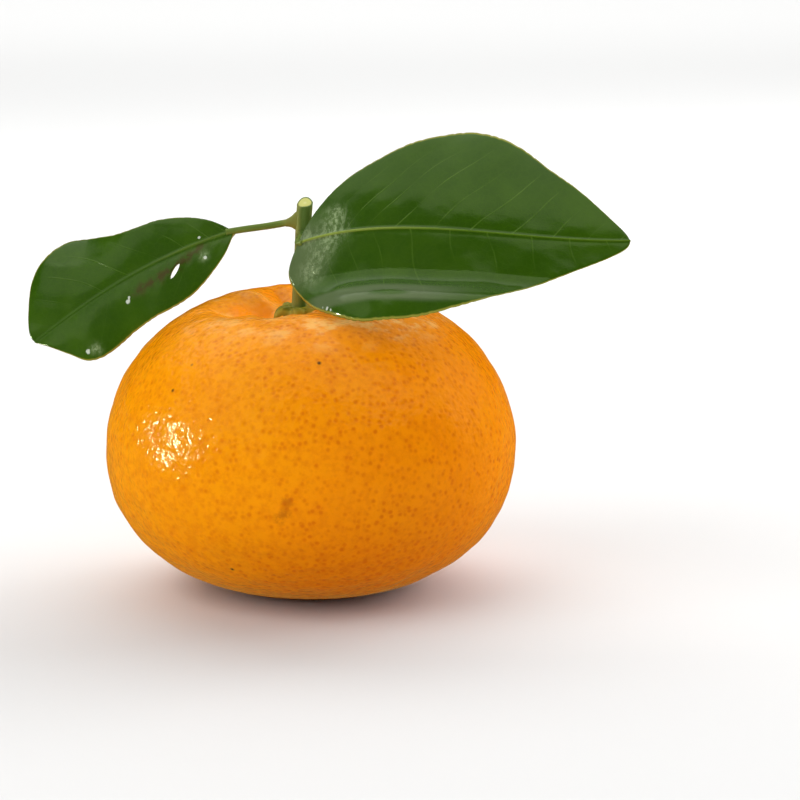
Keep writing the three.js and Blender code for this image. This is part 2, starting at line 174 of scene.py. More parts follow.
LEFT_LEAF = {
    "midrib": ((-12.8, 0, 60.4), (-25.6, 1.4, 56.4), (-36.8, 4.1, 49.1), (-47.2, 5, 40.6)),
    "facing": ((38, 0.1), (36, -0.25)),
    "up_side": -1,
    "upper": ((0, 0), (3.5, 3.2), (7.5, 5.6), (12, 7.2), (16, 7.7), (20, 8.8), (24, 11.1),
              (28, 13.3), (32, 12.7), (35.8, 10.4), (38.6, 6), (40.4, 2), (40.3, 0)),
    "lower": ((0, 0), (2.2, -3.6), (5.8, -6.3), (10, -8.2), (14, -9), (18.5, -9), (23, -9.1),
              (27, -9.7), (30.5, -10), (33.4, -9), (36, -5.8), (38.2, -2.8), (40.3, 0)),
    "half_width": 9.5, "fold": 0.16, "curl": (1.6, 2.4), "shelf": 0, "lip": 0,
    "wave": (0.45, 0.36, 2.2),
    "stalk": ((-3.9, 0, 61.85), (-7, 0, 61.3), (-10.5, 0, 60.8), (-14.2, 0.1, 60.2)),
    "stalk_radius": (0.62, 0.58),
    "veins": {1: (1, 4, 9, 14, 19.5, 25, 30.5, 36), -1: (1, 3, 7.5, 12.5, 18, 23.5, 29, 34)},
    "lean": {1: 0.8, -1: 0.7},
    "bow": {1: 0.01, -1: 0.01},
    "glint_spots": ((6, -2.8, 0.8), (30.8, -8.3, 0.9)),
    "drop_glints": ((21.6, -4.2, 0.5), (21.1, -3.6, 0.25), (6.1, 0.9, 0.3), (5.8, -3.1, 0.4), (32.3, -7.9, 0.5)),
    "lean_slope": 0,
    "rib_relief": 0.35,
    "seed": 23,
}
STALK_CHANNEL = {"depth": 0.12, "width": 0.25}
STALK_RIDGES = {"count": 7, "height": 0.02, "twist": 6}

# Left leaf's tear, and the dried streak that runs through it and fades in and out at its ends
TEAR = {"along": 11.7, "across": -3.2, "half_length": 1.5, "half_width": 0.5, "turn": -0.72}
SCORCH = {"path": ((5, -0.6), (10.6, -2.4), (15, -3.1), (21, -3.6)), "width": 0.8}
SCORCH_FADES = ((-1, 2), (-3, 1))
SCORCH_RAGGED = {"share": 0.45, "quick": 2.3, "slow": 0.9}

# Studio, in metres: a level floor that bends up into a wall
FLOOR = {"near": -3.0, "bend_from": 3.2, "bend_radius": 0.6, "top": 3.5, "half_width": 3.0}

# View: the fruit's middle lies on this pixel of the 800 pixel square, at the depth that makes
# the fruit this many pixels wide
LENS = 120
SENSOR = 36
PICTURE_SIDE = 800
VIEW_RISE = math.radians(11.5)
FRUIT_PIXEL = (312, 448)
FRUIT_MIDDLE = (-0.1, 0, 23.4)
FRUIT_PIXELS_WIDE = 413
FRUIT_WIDTH = 70


# Number helpers

def smoothstep(low, high, value):
    share = np.clip((value - low) / (high - low), 0, 1)
    return share * share * (3 - 2 * share)


def bell(distance, width):
    return np.exp(-((distance / width) ** 2))


def ripple(waves, angle):
    """Sum of cosines round the axis, each with a count, a share and a starting angle."""
    return sum(share * np.cos(count * angle + start) for count, share, start in waves)


def unit(vectors):
    return vectors / np.linalg.norm(vectors, axis=-1, keepdims=True)


def plane_waves(points, wavelength, seed, count=24):
    """Smooth noise of even strength: many cosines of about one wavelength that cross space in
    random directions, added up and divided by their spread."""
    random = np.random.default_rng(seed)
    pace = 2 * np.pi / (wavelength * random.uniform(0.75, 1.35, count))
    direction = unit(random.normal(size=(count, 3))) * pace[:, None]
    phase = points @ direction.T + random.uniform(0, 2 * np.pi, count)
    return np.cos(phase).sum(axis=-1) / math.sqrt(count / 2)


def cubic(controls, t):
    """Points and directions of a cubic curve with four control points."""
    p = np.asarray(controls, float)
    t = np.asarray(t, float)[..., None]
    s = 1 - t
    place = s**3 * p[0] + 3 * s**2 * t * p[1] + 3 * s * t**2 * p[2] + t**3 * p[3]
    slope = s**2 * (p[1] - p[0]) + 2 * s * t * (p[2] - p[1]) + t**2 * (p[3] - p[2])
    return place, unit(slope)


def through(knots, t):
    """A smooth curve through evenly timed knots: each stretch is a cubic whose end slopes are
    half the step between the knots on either side."""
    knots = np.asarray(knots, float)
    padded = np.vstack([knots[:1], knots, knots[-1:]])
    time = np.clip(np.asarray(t, float), 0, 1) * (len(knots) - 1)
    first = np.minimum(time.astype(int), len(knots) - 2)
    w = (time - first)[..., None]
    before, start, end, after = (padded[first + k] for k in range(4))
    slope_in, slope_out = (end - before) / 2, (after - start) / 2
    return ((2 * start - 2 * end + slope_in + slope_out) * w**3
            + (3 * end - 3 * start - 2 * slope_in - slope_out) * w**2 + slope_in * w + start)


# Mesh helpers

def loft(rings, foot, head):
    """A skin over rings of points (rows, columns, 3), closed by a fan of triangles at each end."""
    rows, columns = rings.shape[:2]
    points = np.vstack([rings.reshape(-1, 3), foot, head])
    here = np.arange(rows * columns).reshape(rows, columns)
    after = np.roll(here, -1, axis=1)
    quads = np.stack([here[:-1], after[:-1], after[1:], here[1:]], axis=-1).reshape(-1, 4)
    foot_fan = np.stack([after[0], here[0], np.full(columns, rows * columns)], axis=-1)
    head_fan = np.stack([here[-1], after[-1], np.full(columns, rows * columns + 1)], axis=-1)
    return points, quads, np.vstack([foot_fan, head_fan])


def joined(*skins):
    """Several skins as one, with the later ones' corner numbers moved up."""
    points, quads, fans, count = [], [], [], 0
    for skin_points, skin_quads, skin_fans in skins:
        points.append(skin_points)
        quads.append(skin_quads + count)
        fans.append(skin_fans + count)
        count += len(skin_points)
    return np.vstack(points), np.vstack(quads), np.vstack(fans)


def turned_out(points, quads, fans):
    """Turns every face over if the skin's signed volume says that they point inwards."""
    a, b, c, d = (points[quads[:, k]] for k in range(4))
    volume = np.sum(a * np.cross(b, c)) + np.sum(a * np.cross(c, d))
    return (quads, fans) if volume > 0 else (quads[:, ::-1], fans[:, ::-1])


def piece(name, skin, finish, node, marks=()):
    """Makes a smooth mesh object that stands for a node of the part and rides on its body."""
    points, quads, fans = skin
    quads, fans = turned_out(points, quads, fans)
    mesh = bpy.data.meshes.new(name)
    mesh.from_pydata((points * MM).tolist(), [], quads.tolist() + fans.tolist())
    mesh.shade_smooth()
    for mark, values in dict(marks).items():
        mesh.attributes.new(mark, "FLOAT", "POINT").data.foreach_set("value", np.ravel(values))
    mesh.materials.append(finish)
    mesh.update()
    obj = bpy.data.objects.new(name, mesh)
    bpy.context.scene.collection.objects.link(obj)
    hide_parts(node)
    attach(obj, "root")
    return obj


# Fruit

def ball_grid(cells):
    """Directions all round and their quads: a cube's faces are ruled in equal angles, blown up
    to a ball and welded along the cube's edges."""
    lattices, quads, count = [], [], 0
    u, v = np.meshgrid(np.arange(cells + 1), np.arange(cells + 1), indexing="ij")
    here = np.arange(u.size).reshape(u.shape)
    face = np.stack([here[:-1, :-1], here[1:, :-1], here[1:, 1:], here[:-1, 1:]], axis=-1).reshape(-1, 4)
    for axis, side in itertools.product(range(3), (0, cells)):
        lattice = np.empty(u.shape + (3,), int)
        lattice[..., axis] = side
        lattice[..., (axis + 1) % 3] = u
        lattice[..., (axis + 2) % 3] = v
        lattices.append(lattice.reshape(-1, 3))
        quads.append((face if side else face[:, ::-1]) + count)
        count += u.size
    corners, welded = np.unique(np.vstack(lattices), axis=0, return_inverse=True)
    directions = unit(np.tan(np.pi / 4 * (2 * corners / cells - 1)))
    return directions, welded.reshape(-1)[np.vstack(quads)]


def fold_height(reach, angle):
    """Sum of ridges and gullies: each has a bell-shaped section, of one width on either side of
    its ray, and rises and fades along it."""
    total = 0
    for degrees, (begins, full, fades, gone), height, (clockwise, anticlockwise) in FOLDS:
        along = reach * np.cos(angle - math.radians(degrees))
        across = reach * np.sin(angle - math.radians(degrees))
        width = np.where(across < 0, clockwise, anticlockwise)
        run = smoothstep(begins, full, along) * (1 - smoothstep(fades, gone, along))
        total = total + height * run * bell(across, width)
    return total


def crown_place(reach, angle, raised=0):
    """Upper half, from the distance to the axis: a superellipse dome less a bell-shaped dimple
    that sits to one side, plus the folds, furrows and creases that run outwards from it."""
    inside = np.maximum(1 - (reach / FRUIT_RADIUS) ** CROWN_POWERS[0], 0)
    dome = CROWN_HEIGHT * inside ** (1 / CROWN_POWERS[1])
    dimple = DIMPLE["depth"] * bell(reach, DIMPLE["radius"])
    shift = DIMPLE["shift"] * (1 - smoothstep(0, DIMPLE["reach"], reach))
    fade = smoothstep(FURROWS["fade_from"], FURROWS["fade_to"], reach)
    furrow_ring = FURROWS["height"] * bell(reach - FURROWS["middle"], FURROWS["spread"])
    crease_ring = CREASES["height"] * bell(reach - CREASES["middle"], CREASES["spread"])
    rays = furrow_ring * ripple(FURROW_WAVES, angle) + crease_ring * ripple(CREASE_WAVES, angle)
    relief = fade * rays + fold_height(reach, angle)
    outward = reach * (1 + ripple(OUT_OF_ROUND, angle))
    z = WAIST_HEIGHT + dome - dimple + relief + raised
    return np.stack([outward * np.cos(angle) + shift, outward * np.sin(angle), z], axis=-1)


def base_place(reach, angle):
    """Lower half: a superellipse cut off by the table, with the cut softened, and a small scar
    in its middle."""
    share = (1 - (reach / FRUIT_RADIUS) ** BASE_POWERS[0]).clip(0) ** (1 / BASE_POWERS[1])
    rest = (1 - (REST_RADIUS / FRUIT_RADIUS) ** BASE_POWERS[0]) ** (1 / BASE_POWERS[1])
    z = WAIST_HEIGHT * (1 - share / rest)
    z = (z + np.sqrt(z**2 + REST_SOFTENING**2)) / 2
    star = 1 + SCAR["raggedness"] * np.cos(SCAR["points"] * angle)
    z = z + SCAR["depth"] * bell(reach, SCAR["radius"] * star)
    outward = reach * (1 + ripple(OUT_OF_ROUND, angle))
    return np.stack([outward * np.cos(angle), outward * np.sin(angle), z], axis=-1)


def rind_skin():
    """The fruit's whole skin: each direction of a ball sets a distance from the axis by the sine
    of its polar angle, raised to the superellipse's power; soft lumps are then pressed in."""
    directions, quads = ball_grid(BALL_CELLS)
    angle = np.arctan2(directions[:, 1], directions[:, 0])
    sine = np.hypot(directions[:, 0], directions[:, 1])
    places = np.where(
        directions[:, 2:] >= 0,
        crown_place(FRUIT_RADIUS * sine ** (2 / CROWN_POWERS[0]), angle),
        base_place(FRUIT_RADIUS * sine ** (2 / BASE_POWERS[0]), angle),
    )
    half_axes = np.array([FRUIT_RADIUS, FRUIT_RADIUS, CROWN_HEIGHT])
    outward = unit((places - [0, 0, WAIST_HEIGHT]) / half_axes**2)
    lumps = sum(size * plane_waves(places, length, LUMP_SEED) for length, size in LUMPS)
    relief = np.minimum(lumps - LUMP_SINK, LUMP_CEILING) * smoothstep(*LUMPS_SET_IN, places[:, 2])
    return places + outward * relief[:, None], quads, np.empty((0, 3), int)


# Calyx

def calyx_skin(sides=240, rings=22):
    """A star on the dimple's bottom: each ring is a share of the star's outline, laid on the
    crown and raised by a thickness that thins towards the tips, with shallow veins on it. Also
    gives each corner's share of the outline."""
    angle = np.linspace(0, 2 * np.pi, sides, endpoint=False)[None, :]
    swing = np.abs(np.cos(CALYX["lobes"] / 2 * (angle + CALYX["turn"]))) ** CALYX["sharpness"]
    star = CALYX["bays"] + (CALYX["tips"] - CALYX["bays"]) * swing
    outline = star * (1 + ripple(CALYX_UNEVEN, angle))
    share = (np.arange(1, rings + 1) / rings)[:, None]
    height = CALYX["thickness"] + (CALYX["rim"] - CALYX["thickness"]) * share**2
    edge = np.sqrt(1 - share ** CALYX["rounding"])
    veins = CALYX_VEINS["height"] * share * np.cos(CALYX["lobes"] * CALYX_VEINS["per_lobe"] * angle)
    grain = CALYX_GRAIN["height"] * np.cos(CALYX_GRAIN["count"] * angle + CALYX_GRAIN["twist"] * share)
    raised = edge * (height + CALYX_GAP + (veins + grain) * share) + CALYX_SUNK * (1 - edge)
    reach = share * outline
    turns = np.broadcast_to(angle, reach.shape)
    under = crown_place(reach, turns, CALYX_SUNK)
    over = crown_place(reach, turns, raised)
    centre_under = crown_place(np.zeros(1), np.zeros(1), CALYX_SUNK)
    centre_over = crown_place(np.zeros(1), np.zeros(1), CALYX_GAP + CALYX["thickness"])
    skin = loft(np.concatenate([under, over[-2::-1]]), centre_under, centre_over)
    shares = share * np.ones_like(angle)
    return skin, np.concatenate([shares.ravel(), shares[-2::-1].ravel(), [0, 0]])


# Stem

def tube_frame(path, t):
    """Middle, and two directions square to it, along a smooth path through its knots."""
    step = 1e-3
    middle = through(path, t)
    ahead = unit(through(path, np.minimum(t + step, 1)) - through(path, np.maximum(t - step, 0)))
    side = unit(np.cross(ahead, [0.0, -1.0, 0.0]))
    return middle, side, np.cross(ahead, side)


def twig_skin(sides=72, rings=220):
    """A round section with three low ridges and fine bark lines, carried up the stem's path;
    the last stretch leans into the slanted cut, whose face bulges a little. Also gives each
    corner's share of the cut's size, from 0 in its middle to 1 on its edge, and BARK elsewhere."""
    t = np.linspace(0, 1, rings)[:, None]
    angle = np.linspace(0, 2 * np.pi, sides, endpoint=False)[None, :]
    radius = STEM_RADIUS[0] + (STEM_RADIUS[1] - STEM_RADIUS[0]) * t
    ridge = STEM_RIDGES["height"] * np.cos(STEM_RIDGES["count"] * (angle + STEM_RIDGES["turn"]))
    swing = BARK_COARSE["swing"] * np.sin(BARK_COARSE["pace"] * t)
    coarse = BARK_COARSE["height"] * np.cos(BARK_COARSE["count"] * angle + swing)
    fine = BARK_FINE["height"] * np.cos(BARK_FINE["count"] * angle + BARK_FINE["twist"] * t)
    radius = radius * (1 + ridge + coarse + fine)
    x = radius * np.cos(angle)
    y = radius * np.sin(angle)
    slant = smoothstep(CUT_SLANT["from"], 1, t) * (CUT_SLANT["x"] * x + CUT_SLANT["y"] * y)
    rings_out = through(STEM_PATH, t) + np.stack([x, y, slant], axis=-1)
    middle = through(STEM_PATH, np.ones(1))
    share, rise = np.array(CUT_RINGS).T[..., None, None]
    cut = middle + share * (rings_out[-1] - middle) + rise * [0, 0, 1]
    skin = loft(np.concatenate([rings_out, cut]), through(STEM_PATH, np.zeros(1)), middle)
    ring_shares = np.concatenate([np.full(rings - 1, BARK), [1], share.ravel()])
    return skin, np.concatenate([np.repeat(ring_shares, sides), [BARK, 0]])


def flare_skin(sections, sides=40, rings=36):
    """An upright oval, smoothly narrowing from section to section, that grows out of the twig."""
    centres = np.array([centre for centre, high, wide in sections], float)
    sizes = np.array([(high, wide) for centre, high, wide in sections], float)
    t = np.linspace(0, 1, rings)
    across = unit(np.cross([0.0, 0.0, 1.0], centres[-1] - centres[0]))
    angle = np.linspace(0, 2 * np.pi, sides, endpoint=False)[None, :, None]
    size = through(sizes, t)[:, None]
    rings_out = (through(centres, t)[:, None] + across * size[..., 1:] * np.cos(angle)
                 + np.array([0, 0, 1.0]) * size[..., :1] * np.sin(angle))
    return loft(rings_out, centres[:1], centres[-1:])


# Leaves

class Blade:
    """A leaf's blade, drawn flat along and across its midrib and then bent."""

    def __init__(self, leaf):
        self.leaf = leaf
        line, _ = cubic(leaf["midrib"], np.linspace(0, 1, 201))
        self.length = np.linalg.norm(np.diff(line, axis=0), axis=1).sum()
        facing = [(aside, -math.cos(math.radians(rise)), math.sin(math.radians(rise)))
                  for rise, aside in leaf["facing"]]
        self.facing = unit(np.array(facing))

    def height(self, along, across):
        """Fold along the midrib, curl of each half, a raised shelf with a turned-down lip on the
        lower half, and a wave that grows towards the edge."""
        leaf = self.leaf
        upper = np.maximum(across, 0) / leaf["half_width"]
        lower = np.maximum(-across, 0) / leaf["half_width"]
        share = along / self.length
        middle = smoothstep(0, SHELF_ENDS[0], share) * (1 - smoothstep(*SHELF_ENDS[1:], share))
        fold =leaf["fold"] * (np.hypot(across, FOLD_ROUNDING) - FOLD_ROUNDING)
        curl = leaf["curl"][0] * upper**2 + leaf["curl"][1] * lower**2
        shelf = leaf["shelf"] * smoothstep(SHELF["from"], SHELF["to"], lower)
        lip = leaf["lip"] * np.maximum(lower - SHELF["lip_from"], 0) ** SHELF["lip_power"]
        size, pace, start = leaf["wave"]
        wave = size * np.sin(along * pace + start) * (across / leaf["half_width"]) ** 2
        return fold - curl + (shelf - lip) * middle + wave

    def place(self, along, across):
        """Middle surface and facing: the midrib's curve, a step sideways, and a step up by the
        height, in a frame whose facing turns evenly from base to tip."""
        t = np.clip(along / self.length, 0, 1)
        middle, ahead = cubic(self.leaf["midrib"], t)
        facing = unit(self.facing[0] * (1 - t[..., None]) + self.facing[1] * t[..., None])
        facing = unit(facing - ahead * np.sum(facing * ahead, axis=-1, keepdims=True))
        sideways = np.cross(facing, ahead) * self.leaf["up_side"]
        point = (middle + ahead * (along - t * self.length)[..., None] + sideways * across[..., None]
                 + facing * self.height(along, across)[..., None])
        return point, facing

    def vein_rank(self, along, across):
        """A whole number on each side vein and evenly between in between: the flat place is
        carried back to the midrib along the veins' lean and bow, and ranked among their feet."""
        off = np.abs(across)
        ranks = {}
        for side, starts in self.leaf["veins"].items():
            foot = along - self.leaf["lean"][side] * off - self.leaf["bow"][side] * off**2
            wander = np.sin(VEIN_WANDER["outwards"] * off + VEIN_WANDER["onwards"] * foot)
            foot = foot - VEIN_WANDER["size"] * wander
            beyond = VEINS_BEYOND * VEIN_SPACING
            feet = (starts[0] - beyond, *starts, starts[-1] + beyond)
            numbers = (-VEINS_BEYOND, *range(len(starts)), len(starts) - 1 + VEINS_BEYOND)
            ranks[side] = np.interp(foot, feet, numbers)
        return np.where(across > 0, ranks[1], ranks[-1])

    def quilting(self, along, across):
        """Low pillows between the side veins: 0 on a vein, 1 midway between two."""
        return np.abs(np.sin(np.pi * self.vein_rank(along, across)))

    def spots(self, kind, along, across):
        """Sum of round bells, each with a place on the flat blade and a radius."""
        total = 0 * along
        for x, y, radius in self.leaf[kind]:
            total = total + bell(np.hypot(along - x, across - y), radius)
        return total

    def sheen(self, along, across):
        """Share of the painted sheen along the shelf, with a slim lens left out, and at the base."""
        if not self.leaf["shelf"]:
            return 0 * along
        run = smoothstep(*SHEEN_BAND["starts"], along) * (1 - smoothstep(*SHEEN_BAND["ends"], along))
        band = smoothstep(*SHEEN_BAND["outer"], across) * (1 - smoothstep(*SHEEN_BAND["inner"], across))
        x = (along - SHEEN_LENS["along"]) / SHEEN_LENS["half_length"]
        y = (across - SHEEN_LENS["across"]) / SHEEN_LENS["half_width"]
        outside = smoothstep(*SHEEN_LENS["edge"], np.hypot(x, y))
        from_base = np.hypot(along, SHEEN_BASE["squeeze"] * across + SHEEN_BASE["off"])
        base = 1 - smoothstep(*SHEEN_BASE["reach"], from_base)
        painted_sheen = SHEEN_BAND["strength"] * band * run * outside + SHEEN_BASE["strength"] * base
        return np.clip(painted_sheen, 0, 1)

    def lean(self, across):
        """Height in millimetres that only the shading has: the lower half falls away from the
        midrib at an even slope as far as the shelf."""
        lower = np.maximum(-across, 0)
        return -self.leaf["lean_slope"] * np.minimum(lower, LEAN_REACH * self.leaf["half_width"])

    def skin(self, rows, columns):
        """Face and back of a thin plate whose edge is rounded, with the midrib proud on the face
        and a keel on the back. Rows run from base to tip, and each ring goes across the face and
        returns along the back."""
        t = (np.arange(1, rows) / rows)[:, None]
        j = np.arange(-columns, columns + 1)[None, :]
        share = np.abs(j / columns) ** 1.3
        upper = through(self.leaf["upper"], t)
        lower = through(self.leaf["lower"], t)
        edge = np.where((j >= 0)[..., None], upper, lower)
        tip = self.leaf["upper"][-1][0]
        along = self.length * (t * (1 - share) + edge[..., 0] / tip * share)
        across = edge[..., 1] * share
        teeth = np.sin(NOTCHES["pace"] * along + NOTCHES["unevenness"] * np.sin(along))
        across = across * (1 - NOTCHES["depth"] * share**8 * np.maximum(teeth, 0))
        return self.plate(along, across, np.broadcast_to(share, along.shape), np.broadcast_to(t, along.shape))

    def plate(self, along, across, share, t):
        """The bent plate and its marks, from the places on the flat blade, each place's share of
        the way out to the edge and its share of the way to the tip."""
        middle, facing = self.place(along, across)
        rounding = np.sqrt(1 - share**BLADE_ROUNDING)
        half = BLADE_THICKNESS / 2 * rounding
        calm = smoothstep(0, 2.5, np.abs(across)) * rounding
        pillow = PILLOW_HEIGHT * self.quilting(along, across) * (1 - 0.6 * share)
        for count, (length, size) in enumerate(BLADE_LUMPS):
            pillow = pillow + size * plane_waves(middle, length, self.leaf["seed"] + count)
        pillow = pillow * calm
        midrib_width = MIDRIB["width"] * (1 - MIDRIB["narrows"] * t) + MIDRIB["least"]
        midrib = bell(across, midrib_width)
        groove = bell(across, 3 * midrib_width) * (1 - midrib)
        rib = (MIDRIB["height"] * midrib - MIDRIB["groove"] * groove) * (1 - MIDRIB["sinks"] * t)
        keel = KEEL["height"] * bell(across, KEEL["width"] * midrib_width) * (1 - KEEL["sinks"] * t)
        face = middle + facing * (half + pillow + rib * self.leaf["rib_relief"])[..., None]
        back = middle + facing * (pillow - half - keel * rounding)[..., None]
        rings = np.concatenate([face, back[:, -2:0:-1]], axis=1)
        centre = share.shape[1] // 2

        def mark(on_face, on_back):
            ring = np.concatenate([on_face, on_back[:, -2:0:-1]], axis=1)
            return np.concatenate([ring.ravel(), ring[[0, -1], centre]])

        both_sides = {
            "midrib": bell(across, 0.8 * midrib_width),
            "vein_rank": self.vein_rank(along, across),
            "outward": share,
            "along": along,
            "across": across,
        }
        face_only = {
            "glint_spots": self.spots("glint_spots", along, across),
            "drop_glints": self.spots("drop_glints", along, across),
            "sheen": self.sheen(along, across),
            "lean": self.lean(across),
        }
        none = np.zeros_like(share)
        marks = {name: mark(values, values) for name, values in both_sides.items()}
        marks.update({name: mark(values, none) for name, values in face_only.items()})
        marks["under"] = mark(none, none + 1)
        foot, _ = self.place(np.zeros(1), np.zeros(1))
        head, _ = self.place(np.full(1, self.length), np.zeros(1))
        flat = np.stack([marks["along"], marks["across"]], axis=-1)
        return loft(rings, foot, head), marks, flat, share.shape


def tear_place(flat):
    """Place in the tear's own turned frame, in which its outline is the circle of radius 1."""
    step = flat - [TEAR["along"], TEAR["across"]]
    cosine, sine = math.cos(TEAR["turn"]), math.sin(TEAR["turn"])
    x = (step[:, 0] * cosine + step[:, 1] * sine) / TEAR["half_length"]
    y = (step[:, 1] * cosine - step[:, 0] * sine) / TEAR["half_width"]
    return x, y


def torn(blade, skin, flat, shape):
    """Opens the tear: quads inside its ellipse go, the corners left round it move onto the
    ellipse, and a wall joins the face's edge to the back's."""
    points, quads, fans = skin
    rows, columns = shape
    ring = 2 * columns - 2
    x, y = tear_place(flat)
    radius = np.hypot(x, y)
    inside = radius[quads].mean(axis=1) < 1
    kept, gone = quads[~inside], quads[inside]
    edge = np.intersect1d(kept, gone)
    grow = 1 / radius[edge]
    cosine, sine = math.cos(TEAR["turn"]), math.sin(TEAR["turn"])
    lengthways = x[edge] * grow * TEAR["half_length"]
    sideways = y[edge] * grow * TEAR["half_width"]
    along = TEAR["along"] + lengthways * cosine - sideways * sine
    across = TEAR["across"] + lengthways * sine + sideways * cosine
    before, _ = blade.place(flat[edge, 0], flat[edge, 1])
    after, _ = blade.place(along, across)
    points = points.copy()
    points[edge] += after - before
    on_face = gone[(gone % ring < columns).all(axis=1)]
    start, end = on_face.ravel(), np.roll(on_face, -1, axis=1).ravel()
    outer = ~np.isin(end * len(points) + start, start * len(points) + end)
    start, end = start[outer], end[outer]

    def behind(corner):
        row, column = corner // ring, corner % ring
        return row * ring + (ring - column) % ring

    wall = np.stack([start, end, behind(end), behind(start)], axis=-1)
    return points, np.vstack([kept, wall]), fans


def scorch_mark(flat):
    """1 on the dried streak that runs through the tear, falling off as a bell on either side."""
    along, across = flat[:, 0], flat[:, 1]
    path = np.array(SCORCH["path"])
    line = np.interp(along, path[:, 0], path[:, 1])
    starts = smoothstep(*SCORCH_FADES[0], along - path[0, 0])
    ends = 1 - smoothstep(*SCORCH_FADES[1], along - path[-1, 0])
    uneven = np.sin(SCORCH_RAGGED["quick"] * along) * np.sin(SCORCH_RAGGED["slow"] * along + 1)
    ragged = 1 + SCORCH_RAGGED["share"] * uneven
    return bell(across - line, SCORCH["width"] * ragged) * starts * ends


def stalk_skin(leaf, sides=36, rings=90):
    """A round section with a shallow channel along one side and low ridges that twist round it,
    carried along the stalk's path."""
    t = np.linspace(0, 1, rings)
    middle, side, up = tube_frame(leaf["stalk"], t)
    angle = np.linspace(0, 2 * np.pi, sides, endpoint=False)[None, :]
    base, tip = leaf["stalk_radius"]
    channel = STALK_CHANNEL["depth"] * bell(np.cos(angle) + 1, STALK_CHANNEL["width"])
    twist = STALK_RIDGES["twist"] * t[:, None]
    ridges = STALK_RIDGES["height"] * np.cos(STALK_RIDGES["count"] * angle + twist)
    radius = (base + (tip - base) * t[:, None]) * (1 - channel + ridges)
    rings_out = (middle[:, None] + side[:, None] * (radius * np.cos(angle))[..., None]
                 + up[:, None] * (radius * np.sin(angle))[..., None])
    return loft(rings_out, middle[:1], middle[-1:])


# Materials

class Wire:
    """A shader value that Python sums can use: each operator adds one Math node."""

    def __init__(self, finish, socket):
        self.finish = finish
        self.socket = socket

    def math(self, operation, other):
        return self.finish.node("ShaderNodeMath", {"operation": operation}, {0: self, 1: other})

    def __add__(self, other):
        return self.math("ADD", other)

    __radd__ = __add__

    def __mul__(self, other):
        return self.math("MULTIPLY", other)

    __rmul__ = __mul__

    def __sub__(self, other):
        return self.math("SUBTRACT", other)

    def __rsub__(self, other):
        return self.finish.node("ShaderNodeMath", {"operation": "SUBTRACT"}, {0: other, 1: self})

    def __truediv__(self, other):
        return self.math("DIVIDE", other)

    def step(self, low, high):
        """0 below low, 1 above high, and smooth between them."""
        values = {"Value": self, "From Min": low, "From Max": high}
        return self.finish.node("ShaderNodeMapRange", {"interpolation_type": "SMOOTHSTEP"}, values)


class Finish:
    """A material in the making: a Principled surface and the nodes that feed it."""

    def __init__(self, name):
        self.material = bpy.data.materials.new(name)
        self.material.use_nodes = True
        self.tree = self.material.node_tree
        self.tree.nodes.clear()
        self.surface = self.tree.nodes.new("ShaderNodeBsdfPrincipled")
        output = self.tree.nodes.new("ShaderNodeOutputMaterial")
        self.tree.links.new(self.surface.outputs[0], output.inputs["Surface"])
        self.place = self.node("ShaderNodeTexCoord", output="Object")

    def plug(self, socket, value):
        if isinstance(value, Wire):
            self.tree.links.new(value.socket, socket)
        else:
            socket.default_value = value

    def node(self, kind, settings=(), values=(), output=0):
        """Adds a node: its settings first, then its sockets' values or links."""
        node = self.tree.nodes.new(kind)
        for name, value in dict(settings).items():
            setattr(node, name, value)
        for name, value in dict(values).items():
            self.plug(node.inputs[name], value)
        return Wire(self, node.outputs[output])

    def mark(self, name):
        return self.node("ShaderNodeAttribute", {"attribute_name": name}, output="Fac")

    def noise(self, size, detail=2, roughness=0.5, stretch=(1, 1, 1)):
        """Soft noise whose features are about size millimetres across."""
        place = self.node("ShaderNodeMapping", values={"Vector": self.place, "Scale": stretch})
        values = {"Vector": place, "Scale": 1 / (size * MM), "Detail": detail, "Roughness": roughness}
        return self.node("ShaderNodeTexNoise", values=values)

    def cells(self, size, feature="F1", randomness=1.0):
        """Distance to the nearest point of a scattered grid, in shares of its spacing."""
        values = {"Vector": self.place, "Scale": 1 / (size * MM), "Randomness": randomness}
        return self.node("ShaderNodeTexVoronoi", {"feature": feature}, values)

    def coordinate(self, axis):
        """One coordinate of the surface, in millimetres."""
        return self.node("ShaderNodeSeparateXYZ", values={0: self.place}, output=axis) / MM

    def near(self, point, low, high):
        """1 within the low distance of a point and 0 beyond the high one, all in millimetres."""
        values = {0: self.place, 1: [value * MM for value in point]}
        away = self.node("ShaderNodeVectorMath", {"operation": "DISTANCE"}, values, "Value")
        return 1 - (away / MM).step(low, high)

    def mix(self, share, first, second):
        """A colour between two, each an (r, g, b) or a wire."""
        colours = [value if isinstance(value, Wire) else (*value, 1) for value in (first, second)]
        settings = {"data_type": "RGBA", "clamp_factor": True}
        return self.node("ShaderNodeMix", settings, {0: share, 6: colours[0], 7: colours[1]}, 2)

    def bump(self, height, depth, normal=None):
        """Relief of the given depth in millimetres where the height runs from 0 to 1."""
        values = {"Height": height, "Distance": depth * MM, "Strength": 1.0}
        if normal is not None:
            values["Normal"] = normal
        return self.node("ShaderNodeBump", values=values)

    def done(self, **sockets):
        """Sets the surface's sockets, with spaces written as underscores."""
        for name, value in sockets.items():
            self.plug(self.surface.inputs[name.replace("_", " ")], value)
        return self.material


# yellow of the left side; the drift from it to orange is partly painted light
RIND_YELLOW = (0.92, 0.33, 0.001)
RIND_ORANGE = (0.90, 0.245, 0.0005)
# darker orange for painted shade low down and to the right, and for the rind's own mottles
RIND_DEEP = (0.70, 0.155, 0.001)
# painted sheen colour for the crown
RIND_PAINTED_SHEEN = (0.95, 0.54, 0.16)
# painted glow colour for the dimple's hollows
RIND_PAINTED_GLOW = (0.95, 0.27, 0.0005)
GLAND_DARK = (0.66, 0.115, 0.0005)
SPECK_BROWN = (0.05, 0.022, 0.006)
PATCH_BROWN = (0.45, 0.10, 0.003)
SCAR_BROWN = (0.22, 0.1, 0.03)
RIND_GLINT = (1, 0.93, 0.42, 1)


